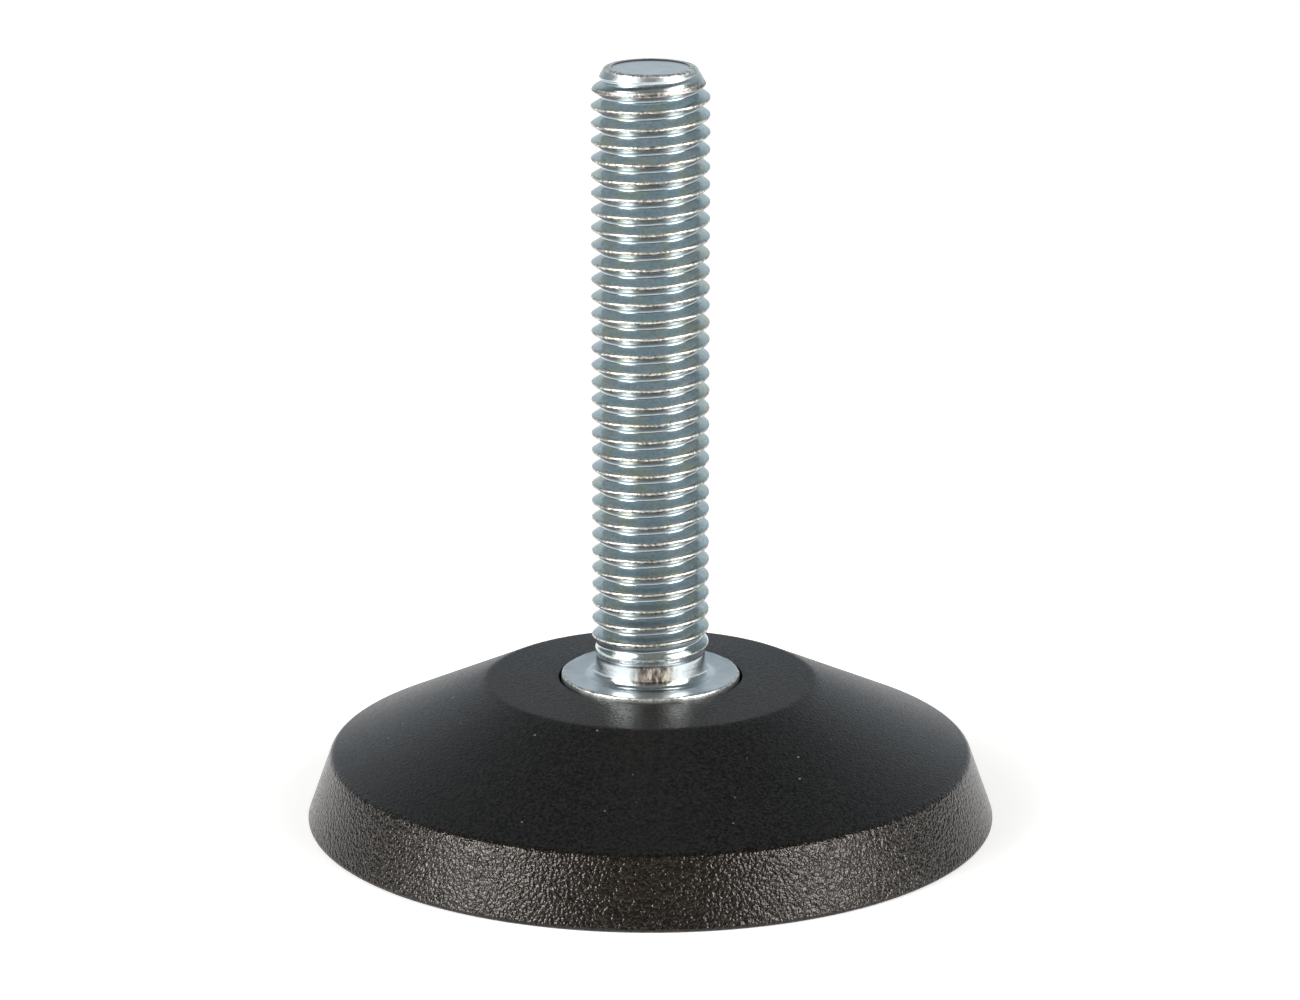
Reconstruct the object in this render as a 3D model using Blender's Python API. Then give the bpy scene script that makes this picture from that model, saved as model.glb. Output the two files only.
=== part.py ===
"""Furniture leveling foot: a threaded steel spindle that turns in a moulded plastic base.

Units are metres and +Z is up. The origin is on the floor, at the centre of the base's underside,
and the spindle's axis is the Z axis. The sizes below are written in millimetres times MM.
"""
import math

import bmesh
import bpy

MM = 0.001

# Room left between two pieces that touch on the real foot.
GAP = 0.3 * MM

# Base: outer shape, from the floor up.
FLOOR_RADIUS = 35.0 * MM
FLOOR_EDGE_ROUND = 0.3 * MM
RIM_RADIUS = 32.5 * MM
RIM_HEIGHT = 7.0 * MM
RIM_ROUND = 1.6 * MM
DISC_RADIUS = 16.6 * MM
DISC_HEIGHT = 14.5 * MM
DISC_ROUND = 1.6 * MM
TOP_HEIGHT = 14.8 * MM

# Base: hollow underside with a central boss and radial ribs.
WALL_FOOT_RADIUS = 31.6 * MM
CEILING_OUTER_RADIUS = 29.6 * MM
CEILING_OUTER_HEIGHT = 5.2 * MM
CEILING_INNER_HEIGHT = 9.5 * MM
BOSS_RADIUS = 11.0 * MM
BOSS_FOOT_HEIGHT = 5.2 * MM
RIB_COUNT = 8
RIB_THICKNESS = 1.8 * MM
RIB_FOOT_HEIGHT = 1.0 * MM
RIB_SET_BACK = 2.5 * MM
RIB_OVERLAP = 0.8 * MM

# Spindle: collar and plain shank, which is a running fit in the base.
COLLAR_RADIUS = 9.0 * MM
COLLAR_TOP = 15.2 * MM
COLLAR_THICKNESS = 2.9 * MM
COLLAR_CHAMFER = 0.3 * MM
SHANK_RADIUS = 5.0 * MM
SHANK_END = 0.9 * MM
SHANK_CHAMFER = 0.4 * MM

# Spindle: neck, which narrows to the rolling blank's size.
NECK_RADIUS = 5.7 * MM
NECK_FILLET = 0.6 * MM
BLANK_RADIUS = 5.5 * MM
BLANK_FOOT = 16.2 * MM

# Spindle: M12 thread of 1.75 mm pitch. A run-out gives the turns, counted from the thread's start,
# at which a line leaves the blank and reaches its full radius.
PITCH = 1.75 * MM
CREST_RADIUS = 5.925 * MM
THREAD_DEPTH = 0.947 * MM
CREST_WIDTH = PITCH / 8
ROOT_WIDTH = PITCH / 4
THREAD_START = 16.19 * MM
THREAD_START_ANGLE = math.radians(90)
CREST_RUN_OUT = (0.0, 0.8)
ROOT_RUN_OUT = (0.2, 1.5)

# Spindle: bevelled end with a rounded rim.
STUD_TOP = 77.4 * MM
END_RADIUS = 4.55 * MM
END_ROUND = 0.5 * MM
END_SLOPE = math.radians(30)
END_CLEARANCE = 6.0 * MM

# The thread is built past the end and then cut back to it.
SPARE_TURNS = 2
THREAD_TURNS = math.ceil((STUD_TOP - THREAD_START) / PITCH) + SPARE_TURNS
THREAD_TOP = THREAD_START + PITCH * (THREAD_TURNS + 1.5)

# Thrust washer and retaining ring under the boss.
WASHER_OUTER_RADIUS = 9.5 * MM
WASHER_THICKNESS = 1.5 * MM
RING_OUTER_RADIUS = 8.1 * MM
RING_THICKNESS = 1.0 * MM
RING_RELIEF_RADIUS = 6.1 * MM
RING_MOUTH_HALF_ANGLE = math.radians(36)
RING_FINGER_ANGLE = math.radians(32)
RING_FINGER_SLOPE = math.radians(4)
RING_FINGER_STEPS = 4
RING_RELIEF_STEPS = 12
GROOVE_RADIUS = 4.0 * MM

# Fineness of the round shapes.
BASE_SEGMENTS = 64
STUD_SEGMENTS = 24
COLLAR_SEGMENTS = 2 * STUD_SEGMENTS
ROUND_STEPS = 4

# Heights that follow from the stack of pieces on the axis.
POCKET_RADIUS = COLLAR_RADIUS + GAP
COLLAR_FOOT = COLLAR_TOP - COLLAR_THICKNESS
POCKET_FLOOR = COLLAR_FOOT - GAP
BORE_RADIUS = SHANK_RADIUS + GAP
WASHER_TOP = BOSS_FOOT_HEIGHT - GAP
WASHER_FOOT = WASHER_TOP - WASHER_THICKNESS
RING_TOP = WASHER_FOOT - GAP
RING_FOOT = RING_TOP - RING_THICKNESS


def clear_scene():
    """Remove every object of the scene."""
    for item in list(bpy.context.scene.objects):
        bpy.data.objects.remove(item, do_unlink=True)


def make_material(name, colour, roughness, metallic):
    """Return a Principled material of one colour."""
    material = bpy.data.materials.new(name)
    material.use_nodes = True
    shader = material.node_tree.nodes["Principled BSDF"]
    shader.inputs["Base Color"].default_value = (*colour, 1.0)
    shader.inputs["Roughness"].default_value = roughness
    shader.inputs["Metallic"].default_value = metallic
    return material


def add_object(name, bm, material):
    """Turn a bmesh into a named object whose origin is on the spindle's axis."""
    bmesh.ops.triangulate(bm, faces=[face for face in bm.faces if len(face.verts) > 4])
    mesh = bpy.data.meshes.new(name)
    bm.to_mesh(mesh)
    bm.free()
    mesh.shade_smooth()
    mesh.set_sharp_from_angle(angle=math.radians(35))
    item = bpy.data.objects.new(name, mesh)
    if material:
        mesh.materials.append(material)
    bpy.context.scene.collection.objects.link(item)
    return item


def rounded(before, corner, after, radius):
    """Return the points of an arc of the given radius that rounds a profile's corner."""
    to_before = (before[0] - corner[0], before[1] - corner[1])
    to_after = (after[0] - corner[0], after[1] - corner[1])
    length_before = math.hypot(*to_before)
    length_after = math.hypot(*to_after)
    unit_before = (to_before[0] / length_before, to_before[1] / length_before)
    unit_after = (to_after[0] / length_after, to_after[1] / length_after)
    cosine = unit_before[0] * unit_after[0] + unit_before[1] * unit_after[1]
    half_angle = math.acos(cosine) / 2
    bisector = (unit_before[0] + unit_after[0], unit_before[1] + unit_after[1])
    to_centre = radius / math.sin(half_angle) / math.hypot(*bisector)
    centre = (corner[0] + bisector[0] * to_centre, corner[1] + bisector[1] * to_centre)
    reach = radius / math.tan(half_angle)
    first = (corner[0] + unit_before[0] * reach, corner[1] + unit_before[1] * reach)
    last = (corner[0] + unit_after[0] * reach, corner[1] + unit_after[1] * reach)
    start = math.atan2(first[1] - centre[1], first[0] - centre[0])
    sweep = math.atan2(last[1] - centre[1], last[0] - centre[0]) - start
    sweep = (sweep + math.pi) % (2 * math.pi) - math.pi
    points = []
    for step in range(ROUND_STEPS + 1):
        angle = start + sweep * step / ROUND_STEPS
        points.append((centre[0] + radius * math.cos(angle), centre[1] + radius * math.sin(angle)))
    return points


def add_ring(bm, radius, height, segments):
    """Add one ring of vertices round the Z axis."""
    ring = []
    for index in range(segments):
        angle = 2 * math.pi * index / segments
        ring.append(bm.verts.new((radius * math.cos(angle), radius * math.sin(angle), height)))
    return ring


def join_rings(bm, lower, upper):
    """Fill the band between two rings; one may have twice as many vertices as the other."""
    if len(lower) == len(upper):
        for index in range(len(lower)):
            after = (index + 1) % len(lower)
            bm.faces.new((lower[index], lower[after], upper[after], upper[index]))
        return
    flip = len(lower) > len(upper)
    coarse, fine = (upper, lower) if flip else (lower, upper)
    for index in range(len(coarse)):
        after = (index + 1) % len(coarse)
        middle = fine[2 * index + 1]
        triangles = (
            (coarse[index], middle, fine[2 * index]),
            (coarse[index], coarse[after], middle),
            (coarse[after], fine[(2 * index + 2) % len(fine)], middle),
        )
        for triangle in triangles:
            bm.faces.new(tuple(reversed(triangle)) if flip else triangle)


def turned_ring(profile, segments):
    """Return a bmesh turned from a closed profile that runs counter-clockwise in (radius, height)."""
    bm = bmesh.new()
    rings = [add_ring(bm, radius, height, segments) for radius, height in profile]
    for index, ring in enumerate(rings):
        join_rings(bm, ring, rings[(index + 1) % len(rings)])
    return bm


def base_profile():
    """Return the base's section: up the outside, then down the pocket, bore, boss and hollow."""
    floor_corner = (FLOOR_RADIUS, FLOOR_EDGE_ROUND)
    rim_corner = (RIM_RADIUS, RIM_HEIGHT)
    disc_corner = (DISC_RADIUS, DISC_HEIGHT)
    pocket_edge = (POCKET_RADIUS, TOP_HEIGHT)
    profile = [(WALL_FOOT_RADIUS, 0.0), (FLOOR_RADIUS - FLOOR_EDGE_ROUND, 0.0), floor_corner]
    profile += rounded(floor_corner, rim_corner, disc_corner, RIM_ROUND)
    profile += rounded(rim_corner, disc_corner, pocket_edge, DISC_ROUND)
    profile += [pocket_edge, (POCKET_RADIUS, POCKET_FLOOR), (BORE_RADIUS, POCKET_FLOOR)]
    profile += [(BORE_RADIUS, BOSS_FOOT_HEIGHT), (BOSS_RADIUS, BOSS_FOOT_HEIGHT)]
    profile += [(BOSS_RADIUS, CEILING_INNER_HEIGHT), (CEILING_OUTER_RADIUS, CEILING_OUTER_HEIGHT)]
    return profile


def make_ribs():
    """Return the radial ribs of the underside as separate closed bodies in one object."""
    inner = BOSS_RADIUS - RIB_OVERLAP
    outer = WALL_FOOT_RADIUS
    outline = [
        (inner, BOSS_FOOT_HEIGHT + GAP),
        (BOSS_RADIUS + RIB_SET_BACK, RIB_FOOT_HEIGHT),
        (outer, RIB_FOOT_HEIGHT),
        (outer, RIB_FOOT_HEIGHT + RIB_OVERLAP),
        (CEILING_OUTER_RADIUS, CEILING_OUTER_HEIGHT + RIB_OVERLAP),
        (inner, CEILING_INNER_HEIGHT + RIB_OVERLAP),
    ]
    bm = bmesh.new()
    for index in range(RIB_COUNT):
        angle = 2 * math.pi * (index + 0.5) / RIB_COUNT
        along = (math.cos(angle), math.sin(angle))
        sides = []
        for offset in (-RIB_THICKNESS / 2, RIB_THICKNESS / 2):
            side = []
            for radius, height in outline:
                x = radius * along[0] - offset * along[1]
                y = radius * along[1] + offset * along[0]
                side.append(bm.verts.new((x, y, height)))
            sides.append(side)
        near, far = sides
        bm.faces.new(near)
        bm.faces.new(tuple(reversed(far)))
        for point in range(len(outline)):
            after = (point + 1) % len(outline)
            bm.faces.new((near[after], near[point], far[point], far[after]))
    bmesh.ops.recalc_face_normals(bm, faces=bm.faces)
    ribs = add_object("rib_guide", bm, None)
    ribs.hide_render = True
    ribs.display_type = "WIRE"
    return ribs


def make_base(material):
    """Moulded base: a low cone, open underneath, with its ribs joined on."""
    base = add_object("base", turned_ring(base_profile(), BASE_SEGMENTS), material)
    union = base.modifiers.new("ribs", "BOOLEAN")
    union.operation = "UNION"
    union.solver = "EXACT"
    union.object = make_ribs()
    return base


def thread_line(rise, full_radius, run_out, turns):
    """Return one helical line of the thread, which starts at a rise above the thread's start."""
    leave, reach = run_out
    points = []
    for index in range(STUD_SEGMENTS * turns + 1):
        turn = index / STUD_SEGMENTS
        depth = max(0.0, min(1.0, (turn - leave) / (reach - leave), THREAD_TURNS - turn))
        radius = BLANK_RADIUS + (full_radius - BLANK_RADIUS) * depth
        angle = 2 * math.pi * turn
        height = THREAD_START + rise + PITCH * turn
        points.append((radius * math.cos(angle), radius * math.sin(angle), height))
    return points


def add_thread(bm, blank, top):
    """Add the helical surface between the blank's ring and the ring above the stud's end.

    The surface is one strip that winds up the stud, four lines to a pitch: foot of the lower
    flank, both edges of the crest and foot of the upper flank. It starts and ends with no depth,
    so its two ends lie flat on the plain rings.
    """
    around = STUD_SEGMENTS
    last = around * THREAD_TURNS
    root_radius = CREST_RADIUS - THREAD_DEPTH
    foot_run_out = (ROOT_RUN_OUT[0] + 1, ROOT_RUN_OUT[1] + 1)
    foot_line = thread_line(ROOT_WIDTH / 2, root_radius, foot_run_out, THREAD_TURNS + 1)
    upper_lines = (
        thread_line((PITCH - CREST_WIDTH) / 2, CREST_RADIUS, CREST_RUN_OUT, THREAD_TURNS),
        thread_line((PITCH + CREST_WIDTH) / 2, CREST_RADIUS, CREST_RUN_OUT, THREAD_TURNS),
        thread_line(PITCH - ROOT_WIDTH / 2, root_radius, ROOT_RUN_OUT, THREAD_TURNS),
    )
    foot = [bm.verts.new(point) for point in foot_line]
    lines = [foot[:last + 1]]
    for points in upper_lines:
        lines.append([bm.verts.new(point) for point in points])
    lines.append(foot[around:])
    for index in range(last):
        for lower, upper in zip(lines, lines[1:]):
            bm.faces.new((lower[index], lower[index + 1], upper[index + 1], upper[index]))
    for index in range(around - 1):
        bm.faces.new((blank[index], blank[index + 1], foot[index + 1], foot[index]))
        above = last + index + 1
        bm.faces.new((foot[above], foot[above + 1], top[(index + 2) % around], top[index + 1]))
    start_edge = [blank[0]] + [line[0] for line in lines]
    for low, high in zip(start_edge, start_edge[1:]):
        bm.faces.new((blank[-1], low, high))
    bm.faces.new((blank[-1], foot[around], foot[around - 1]))
    end_edge = [line[last] for line in lines] + [top[0]]
    for low, high in zip(end_edge, end_edge[1:]):
        bm.faces.new((foot[last + 1], high, low))
    bm.faces.new((foot[last + 1], top[1], top[0]))


def make_end_cutter():
    """Return the cutter that squares the stud's end, rounds its rim and bevels it."""
    outer = END_RADIUS + END_CLEARANCE * math.tan(END_SLOPE)
    bevel_foot = (outer, STUD_TOP - END_CLEARANCE)
    profile = rounded((0.0, STUD_TOP), (END_RADIUS, STUD_TOP), bevel_foot, END_ROUND)
    profile += [bevel_foot, (outer, THREAD_TOP + END_CLEARANCE)]
    bm = bmesh.new()
    rings = [add_ring(bm, radius, height, COLLAR_SEGMENTS) for radius, height in profile]
    for lower, upper in zip(rings, rings[1:]):
        join_rings(bm, lower, upper)
    bm.faces.new(tuple(reversed(rings[0])))
    bm.faces.new(rings[-1])
    bmesh.ops.recalc_face_normals(bm, faces=bm.faces)
    cutter = add_object("end_cutter", bm, None)
    cutter.hide_render = True
    cutter.display_type = "WIRE"
    return cutter


def make_spindle(material):
    """Steel spindle: grooved shank, collar, neck and thread in one body."""
    bm = bmesh.new()
    groove_top = RING_TOP + GAP
    groove_foot = RING_FOOT - GAP
    shank = [
        (SHANK_RADIUS - SHANK_CHAMFER, SHANK_END),
        (SHANK_RADIUS, SHANK_END + SHANK_CHAMFER),
        (SHANK_RADIUS, groove_foot),
        (GROOVE_RADIUS, groove_foot),
        (GROOVE_RADIUS, groove_top),
        (SHANK_RADIUS, groove_top),
        (SHANK_RADIUS, COLLAR_FOOT),
    ]
    collar = [
        (COLLAR_RADIUS - COLLAR_CHAMFER, COLLAR_FOOT),
        (COLLAR_RADIUS, COLLAR_FOOT + COLLAR_CHAMFER),
        (COLLAR_RADIUS, COLLAR_TOP - COLLAR_CHAMFER),
        (COLLAR_RADIUS - COLLAR_CHAMFER, COLLAR_TOP),
    ]
    blank_foot = (BLANK_RADIUS, BLANK_FOOT)
    neck = rounded(collar[-1], (NECK_RADIUS, COLLAR_TOP), blank_foot, NECK_FILLET)
    neck.append(blank_foot)
    rings = [add_ring(bm, radius, height, STUD_SEGMENTS) for radius, height in shank]
    rings += [add_ring(bm, radius, height, COLLAR_SEGMENTS) for radius, height in collar]
    rings += [add_ring(bm, radius, height, STUD_SEGMENTS) for radius, height in neck]
    for lower, upper in zip(rings, rings[1:]):
        join_rings(bm, lower, upper)
    bm.faces.new(tuple(reversed(rings[0])))
    top = add_ring(bm, BLANK_RADIUS, THREAD_TOP, STUD_SEGMENTS)
    add_thread(bm, rings[-1], top)
    bm.faces.new(top)
    spindle = add_object("spindle", bm, material)
    spindle.rotation_euler.z = THREAD_START_ANGLE
    cut = spindle.modifiers.new("end", "BOOLEAN")
    cut.operation = "DIFFERENCE"
    cut.solver = "EXACT"
    cut.object = make_end_cutter()
    return spindle


def make_washer(material):
    """Flat steel washer that carries the retaining ring's load into the boss."""
    profile = [
        (BORE_RADIUS, WASHER_FOOT),
        (WASHER_OUTER_RADIUS, WASHER_FOOT),
        (WASHER_OUTER_RADIUS, WASHER_TOP),
        (BORE_RADIUS, WASHER_TOP),
    ]
    return add_object("thrust_washer", turned_ring(profile, COLLAR_SEGMENTS), material)


def ring_stations():
    """Return (angle, inner radius) pairs from one side of the ring's mouth to the other."""
    relief_angle = (2 * math.pi - 2 * RING_MOUTH_HALF_ANGLE - 3 * RING_FINGER_ANGLE) / 2
    finger = (RING_FINGER_ANGLE, GROOVE_RADIUS + GAP, RING_FINGER_STEPS)
    relief = (relief_angle, RING_RELIEF_RADIUS, RING_RELIEF_STEPS)
    stations = []
    angle = RING_MOUTH_HALF_ANGLE
    for sweep, radius, steps in (finger, relief, finger, relief, finger):
        first = angle + RING_FINGER_SLOPE / 2
        for step in range(steps + 1):
            stations.append((first + (sweep - RING_FINGER_SLOPE) * step / steps, radius))
        angle += sweep
    return stations


def make_retaining_ring(material):
    """Open snap ring with three fingers that reach into the shank's groove."""
    bm = bmesh.new()
    sections = []
    for angle, inner_radius in ring_stations():
        section = []
        corners = (
            (inner_radius, RING_FOOT),
            (RING_OUTER_RADIUS, RING_FOOT),
            (RING_OUTER_RADIUS, RING_TOP),
            (inner_radius, RING_TOP),
        )
        for radius, height in corners:
            section.append(bm.verts.new((radius * math.cos(angle), radius * math.sin(angle), height)))
        sections.append(section)
    for near, far in zip(sections, sections[1:]):
        join_rings(bm, far, near)
    bm.faces.new(sections[0])
    bm.faces.new(tuple(reversed(sections[-1])))
    bmesh.ops.recalc_face_normals(bm, faces=bm.faces)
    return add_object("retaining_ring", bm, material)


def main():
    """Build the four pieces of the foot."""
    clear_scene()
    plastic = make_material("black_plastic", (0.018, 0.019, 0.022), 0.5, 0.0)
    zinc = make_material("zinc_steel", (0.62, 0.66, 0.68), 0.3, 1.0)
    washer_steel = make_material("washer_steel", (0.58, 0.6, 0.6), 0.35, 1.0)
    spring_steel = make_material("spring_steel", (0.2, 0.2, 0.21), 0.4, 1.0)
    make_base(plastic)
    make_spindle(zinc)
    make_washer(washer_steel)
    make_retaining_ring(spring_steel)


main()
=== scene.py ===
"""Looks of the furniture leveling foot: a zinc-plated threaded spindle in a moulded plastic base.

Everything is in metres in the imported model's frame: the origin is on the floor at the centre of
the base, and the spindle's axis is the Z axis.
"""
import math

import bmesh
import bpy
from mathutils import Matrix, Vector, noise


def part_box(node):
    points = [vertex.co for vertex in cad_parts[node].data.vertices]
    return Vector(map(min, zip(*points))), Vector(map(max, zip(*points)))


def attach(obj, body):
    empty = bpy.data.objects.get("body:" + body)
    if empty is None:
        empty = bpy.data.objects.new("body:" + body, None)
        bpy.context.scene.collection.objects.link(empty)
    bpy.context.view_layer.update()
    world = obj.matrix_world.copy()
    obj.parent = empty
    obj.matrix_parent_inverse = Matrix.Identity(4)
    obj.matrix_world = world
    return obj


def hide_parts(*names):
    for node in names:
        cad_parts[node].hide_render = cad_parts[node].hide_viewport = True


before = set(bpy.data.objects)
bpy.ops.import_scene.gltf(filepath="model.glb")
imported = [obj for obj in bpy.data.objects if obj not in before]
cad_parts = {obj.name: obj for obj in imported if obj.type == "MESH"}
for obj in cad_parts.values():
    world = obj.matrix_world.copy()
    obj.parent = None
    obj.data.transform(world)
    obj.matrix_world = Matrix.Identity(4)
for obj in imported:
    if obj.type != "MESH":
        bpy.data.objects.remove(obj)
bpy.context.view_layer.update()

MM = 0.001
FULL_TURN = 2 * math.pi

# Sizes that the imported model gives.
BASE_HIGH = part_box("base")[1]
SPINDLE_LOW, SPINDLE_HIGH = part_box("spindle")
FLOOR_RADIUS = BASE_HIGH[0]
TOP_HEIGHT = BASE_HIGH[2]
COLLAR_RADIUS = SPINDLE_HIGH[0]
STUD_TOP = SPINDLE_HIGH[2]
SHANK_END = SPINDLE_LOW[2]

# Base: outer shape.
RIM_RADIUS = 32.5 * MM
RIM_HEIGHT = 7.0 * MM
RIM_ROUNDING = 1.0 * MM
DISC_RADIUS = 16.6 * MM
DISC_HEIGHT = 14.5 * MM
DISC_ROUNDING = 1.6 * MM
FOOT_ROUNDING = 0.35 * MM
POCKET_RADIUS = COLLAR_RADIUS + 0.3 * MM
POCKET_EDGE = 0.12 * MM

# Base: hollow underside.
WALL_FOOT_RADIUS = 31.6 * MM
CEILING_OUTER_RADIUS = 29.6 * MM
CEILING_OUTER_HEIGHT = 5.2 * MM
CEILING_INNER_HEIGHT = 9.5 * MM
CEILING_ROUNDING = 1.2 * MM
BOSS_RADIUS = 11.0 * MM
BOSS_FOOT = 5.2 * MM
BOSS_EDGE = 0.4 * MM
BOSS_ROUNDING = 1.0 * MM
BORE_RADIUS = 5.3 * MM
BORE_EDGE = 0.2 * MM
POCKET_FLOOR = 12.0 * MM

# Base: ribs.
RIB_COUNT = 8
RIB_FOOT = 1.0 * MM
RIB_OVERLAP = 0.8 * MM
RIB_THICKNESS = 1.8 * MM
RIB_EDGE = 0.35 * MM
RIB_SLOPE_LENGTH = 2.5 * MM
RIB_BEND = 0.8 * MM
RIB_BOSS_STEP = 0.3 * MM

# Spindle: shank, collar and neck.
SHANK_RADIUS = 5.0 * MM
SHANK_CENTRE_RADIUS = 1.2 * MM
SHANK_EDGE = 0.5 * MM
GROOVE_RADIUS = 4.0 * MM
GROOVE_LOW = 1.8 * MM
GROOVE_HIGH = 3.4 * MM
GROOVE_EDGE = 0.06 * MM
GROOVE_ROUNDING = 0.15 * MM
COLLAR_TOP = 15.2 * MM
COLLAR_FOOT = 12.3 * MM
COLLAR_ROUNDING = 0.4 * MM
COLLAR_EDGE = 0.22 * MM
COLLAR_DISH = 0.13 * MM
COLLAR_RIM_INNER = 0.3 * MM
COLLAR_RIM_SLOPE_END = 0.6 * MM
COLLAR_RIM_DROP = 0.02 * MM
DISH_MARGIN = 0.3 * MM
NECK_RADIUS = 5.7 * MM
NECK_FILLET = 0.9 * MM
NECK_TOP = 16.6 * MM

# Spindle: thread and bevelled end.
BLANK_RADIUS = 5.45 * MM
BLANK_FOOT = 17.5 * MM
PITCH = 1.75 * MM
CREST_RADIUS = 5.925 * MM
ROOT_RADIUS = 4.82 * MM
CREST_PHASE_HEIGHT = 17.5 * MM
CREST_RUN_OUT = (16.9 * MM, 18.8 * MM)
ROOT_RUN_OUT = (18.3 * MM, 21.0 * MM)
CREST_WEAR = 0.02 * MM
CREST_WEAR_LUMP = 0.45 * MM
END_RADIUS = 4.55 * MM
END_SLOPE = math.tan(math.radians(30))
END_ROUND = 0.5 * MM
END_EDGE = 0.35 * MM
BEVEL_SOFTNESS = 0.06 * MM
LEVEL_ZONE = 3.6 * MM
CUP_RADIUS = 3.9 * MM
CUP_DEPTH = 0.12 * MM
CUP_WALL = 0.1 * MM
CUP_EDGE = 0.05 * MM
CUP_CENTRE_RADIUS = 0.6 * MM

# Thread section, as shares of the pitch from the middle of the root.
ROOT_HALF_SHARE = 0.05
CREST_HALF_SHARE = 0.4375
THREAD_ROUNDING = 0.045

# Collar's upper edge, which shearing leaves a little uneven.
UNEVEN_WIDTH = 0.25 * MM
UNEVEN_DEPTH = 1.0 * MM
UNEVEN_HEIGHT = 0.05 * MM
UNEVEN_LUMPS = ((0.9 * MM, 1.0), (0.35 * MM, 0.5))

# Fineness of the turned shapes.
BASE_SEGMENTS = 288
BASE_LONGEST_STEP = 1.6 * MM
STUD_SEGMENTS = 128
THREAD_ROWS = 18
LEVEL_ROW_SHARE = 0.6
ROW_CLEARANCE_SHARE = 0.3
BEVEL_SEGMENTS = 3
BASE_ARC_STEPS = 10
RIB_ARC_STEPS = 4
SPINDLE_ARC_STEPS = 8
END_ARC_STEPS = 6

# Camera, fitted to the photo.
CAMERA_PLACE = (-0.05 * MM, -497.9 * MM, 174.5 * MM)
CAMERA_DIP = 15.84
CAMERA_LENS = 142.8
CAMERA_SENSOR = 36.0

# Lamps and floor.
LAMP_COLOUR = (1.0, 0.955, 0.91)
LAMP_TARGET = Vector((0.0, 0.0, 35 * MM))
FLOOR_HALF_WIDTH = 4.0
FLOOR_GAP = 0.01 * MM
FLOOR_COLOUR = (0.88, 0.88, 0.88, 1.0)
FLOOR_GLOW_COLOUR = (0.95, 0.975, 1.0, 1.0)
FLOOR_GLOW = 0.38

# Studio round the foot: its colours, and the shares of a direction over which they change.
ROOM_FRONT = (0.28, 0.26, 0.24)
ROOM_BACK = (0.60, 0.655, 0.70)
ROOM_OVERHEAD = (0.085, 0.105, 0.11)
OVERHEAD_LEAN = 0.3
OVERHEAD_RANGE = (0.62, 0.95)
SIDE_RANGE = (0.45, 0.75)
SIDE_STRENGTH = 0.4

# The part of a noise's range in which most of its values lie.
NOISE_MIDDLE = (0.3, 0.7)

# Black plastic.
PLASTIC_COOL_DARK = (0.0014, 0.0015, 0.0019)
PLASTIC_COOL_LIGHT = (0.0115, 0.0112, 0.0108)
# Warmer copy of the same black plastic for the rim band: painted warm light.
PLASTIC_PAINTED_WARM_DARK = (0.0012, 0.0007, 0.0004)
PLASTIC_PAINTED_WARM_LIGHT = (0.0120, 0.0086, 0.0055)
DUST_COLOUR = (0.16, 0.16, 0.15)
PLASTIC_IOR = 1.41
PLASTIC_ROUGHNESS = (0.30, 0.42)
RIM_ROUGHNESS_SHARE = 0.48
DISC_ROUGHNESS_SHARE = 1.25
PLASTIC_GRAIN_DEPTH = 0.17 * MM
FINE_GRAIN = 0.26 * MM
FINE_GRAIN_SHARE = 0.32
FINE_GRAIN_RIM_SHARE = 0.05
RIM_GRAIN = 0.34 * MM
PLASTIC_GRIT = 0.34 * MM
DUST_SPACING = 0.55 * MM
DUST_THRESHOLD = (0.88, 0.895)
RIM_FADE_OUT = (RIM_HEIGHT - 0.1 * MM, RIM_HEIGHT + 0.3 * MM)
DISC_FADE_IN = (DISC_HEIGHT - 0.4 * MM, DISC_HEIGHT)

# Zinc plate away from the thread.
ZINC_DARK = (0.56, 0.645, 0.69)
ZINC_LIGHT = (0.66, 0.73, 0.76)
# Stains on the neck's front, darkened further as painted shade where the neck mirrors the dim room in
# front.
STAIN_AND_SHADE_DARK = (0.07, 0.06, 0.055)
STAIN_AND_SHADE_MIDDLE = (0.24, 0.21, 0.18)
STAIN_AND_SHADE_LIGHT = (0.52, 0.50, 0.42)
# Painted shade on the wall of the shallow cup in the stud's end.
CUP_WALL_SHADE_COLOUR = (0.20, 0.17, 0.20)
# Share of wear and painted highlight on the collar's and end's edges.
WEAR_AND_HIGHLIGHT_SHARE = 0.6
ZINC_CLOUD = 1.6 * MM
ZINC_SPECKLE = 0.34 * MM
STAIN_AND_SHADE_STREAK = 0.55 * MM
STAIN_AND_SHADE_STRETCH = (1.0, 1.0, 0.35)

# Zinc plate on the thread.
FLANK_DARK = (0.44, 0.60, 0.64)
FLANK_LIGHT = (0.55, 0.66, 0.67)
FLANK_OLIVE = (0.56, 0.61, 0.38)
FLANK_SPECK = (0.26, 0.33, 0.34)
ROOT_COLOUR = (0.47, 0.515, 0.55)
# Dark underside of the thread, which faces down: painted shade.
UNDERSIDE_SHADE_COLOUR = (0.235, 0.265, 0.30)
# Mottled dark band under each crest: painted shade.
BROWN_SHADE_DARK = (0.16, 0.13, 0.13)
BROWN_SHADE_LIGHT = (0.50, 0.44, 0.41)
# Crests and the collar's and end's edges: wear, lightened further as a painted highlight.
WEAR_AND_HIGHLIGHT_DARK = (0.26, 0.24, 0.23)
WEAR_AND_HIGHLIGHT_MIDDLE = (0.62, 0.61, 0.56)
WEAR_AND_HIGHLIGHT_LIGHT = (0.98, 0.99, 0.88)
OLIVE_PATCH = 2.4 * MM
OLIVE_SHARE = 0.7
SPECK_SHARE = 0.4
CREST_RAGGEDNESS = 0.022
CREST_DULLING = 0.9 * MM
DULLEST_CREST = 0.35

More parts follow.
